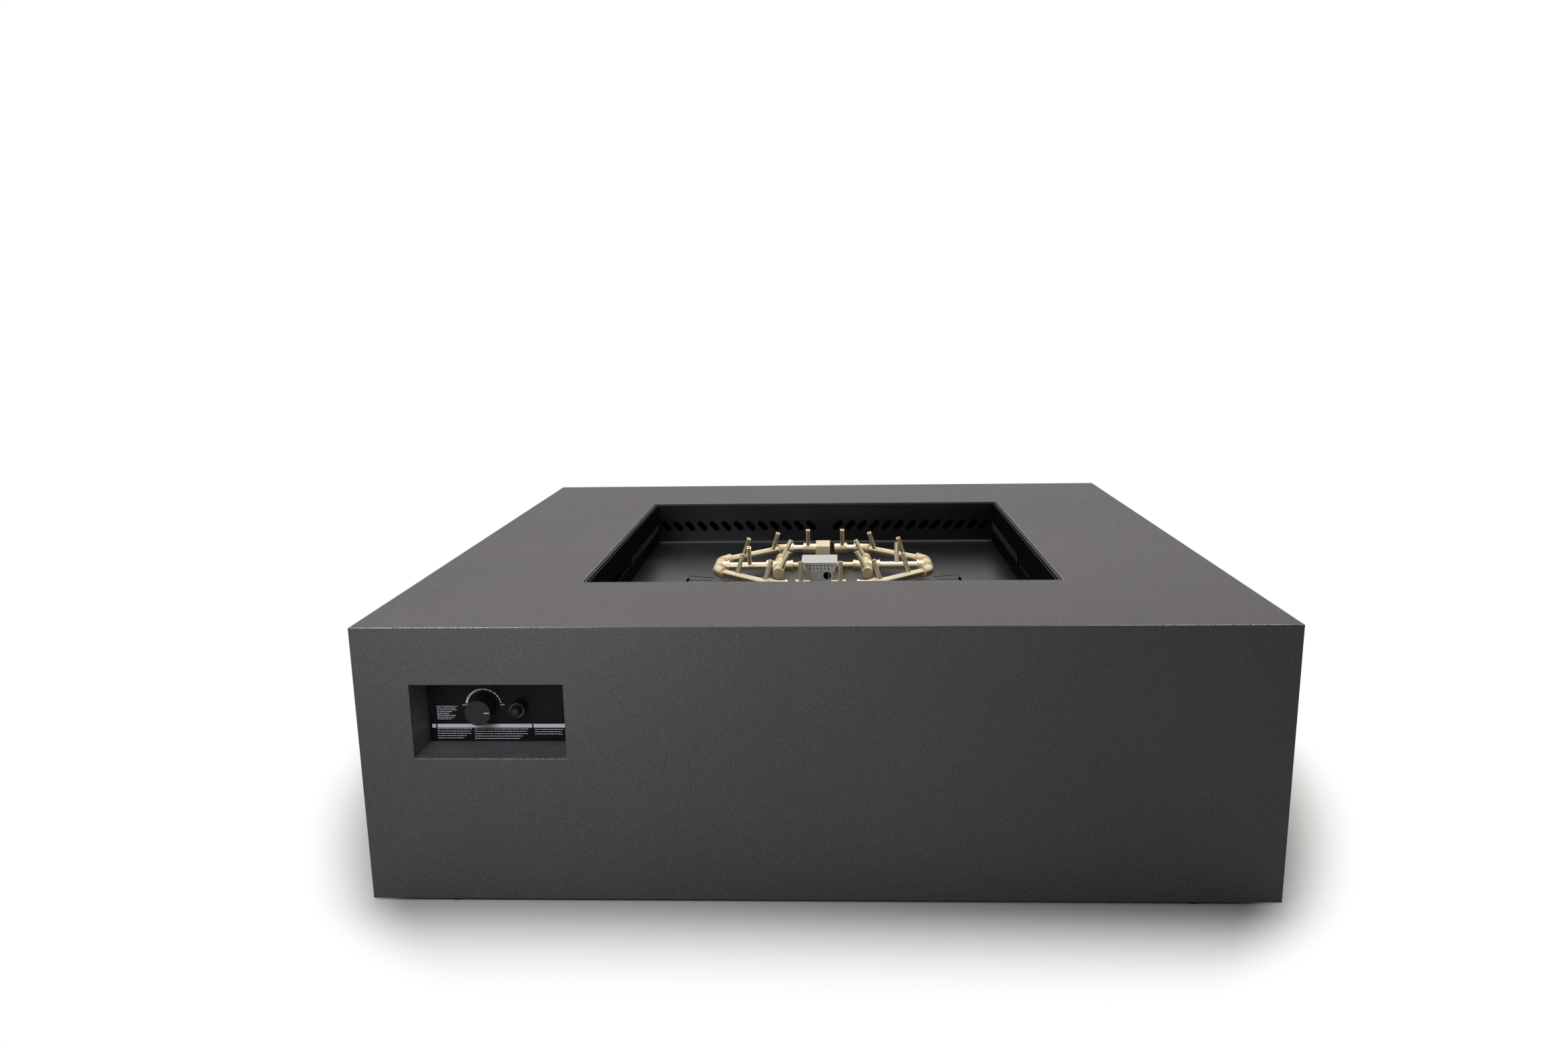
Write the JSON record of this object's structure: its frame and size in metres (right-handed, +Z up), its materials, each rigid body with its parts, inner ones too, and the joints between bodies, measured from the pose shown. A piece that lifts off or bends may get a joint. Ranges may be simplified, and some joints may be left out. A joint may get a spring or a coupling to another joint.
{
  "type": "gas fire pit table",
  "caption": "Low square gas fire pit table with a dark steel shell, a recessed slotted fire pan, a brass jet burner, and a control recess with a push-and-turn knob and spark button.",
  "frame": {"origin": "on the ground under the middle of the table", "axes": "+Z up, -Y toward the front panel with the control recess, +X to the right seen from the front"},
  "size_m": [1.219, 1.219, 0.386],
  "materials": {
    "shell_coat": "textured powder coat",
    "frame_coat": "plain paint",
    "foot_rubber": "matt",
    "pan_black": "satin heat-proof paint",
    "burner_brass": "bright turned",
    "plated_steel": "zinc plated",
    "stainless": "brushed",
    "insulator_white": "glazed ceramic",
    "lead_red": "silicone sleeve",
    "recess_black": "satin",
    "knob_black": "fine satin",
    "mark_white": "printed",
    "battery_wrap": "plain wrap"
  },
  "bodies": {
    "table": {"top_plate": "shell_coat", "front_panel": "shell_coat", "back_panel": "shell_coat", "left_panel": "shell_coat", "right_panel": "shell_coat", "base_rails": "frame_coat", "corner_posts": "frame_coat", "rubber_feet": "foot_rubber", "opening_collar": "pan_black", "pan_rails": "frame_coat", "pan_tray": "pan_black", "pan_left_wall": "pan_black", "pan_right_wall": "pan_black", "burner_hub": "burner_brass", "burner_nipples": "burner_brass", "arm_crosses": "burner_brass", "branch_caps": "burner_brass", "arm_pipes": "burner_brass", "side_tees": "burner_brass", "side_elbows": "burner_brass", "diagonal_pipes": "burner_brass", "corner_elbows": "burner_brass", "end_pipes": "burner_brass", "end_caps": "burner_brass", "burner_jets": "burner_brass", "inlet_nipple": "burner_brass", "pan_nuts": "plated_steel", "inlet_elbow": "burner_brass", "air_mixer": "plated_steel", "orifice_fitting": "burner_brass", "feed_tube": "burner_brass", "supply_tube": "burner_brass", "supply_fitting": "burner_brass", "supply_nut": "plated_steel", "supply_bracket": "frame_coat", "igniter_box": "stainless", "igniter_hood": "stainless", "electrode_insulator": "insulator_white", "electrode_rod": "plated_steel", "thermocouple": "burner_brass", "spark_lead": "lead_red", "thermocouple_lead": "burner_brass", "lead_clips": "plated_steel", "recess_box": "recess_black", "control_plate": "recess_black", "valve_body": "burner_brass", "valve_nut": "plated_steel", "igniter_housing": "knob_black", "igniter_nut": "plated_steel", "igniter_cap": "knob_black", "igniter_spring": "plated_steel", "igniter_battery": "battery_wrap"},
    "valve_plug_body": {"valve_plug": "burner_brass", "valve_spring": "plated_steel"},
    "knob_body": {"control_knob": "knob_black", "knob_pointer": "mark_white", "valve_spindle": "plated_steel"},
    "button_body": {"igniter_button": "knob_black"}
  },
  "joints": [
    {"name": "knob_turn", "type": "hinge", "parent": "table", "child": "valve_plug_body", "pos_m": [-0.459, -0.546, 0.2575], "axis": [0, -1, 0], "range_deg": [0, 180]},
    {"name": "knob_push", "type": "slide", "parent": "valve_plug_body", "child": "knob_body", "axis": [0, 1, 0], "range_m": [0, 0.004], "stiffness_N_per_m": 900, "deforming": ["valve_spring"]},
    {"name": "igniter_press", "type": "slide", "parent": "table", "child": "button_body", "axis": [0, 1, 0], "range_m": [0, 0.004], "stiffness_N_per_m": 600, "deforming": ["igniter_spring"]}
  ]
}
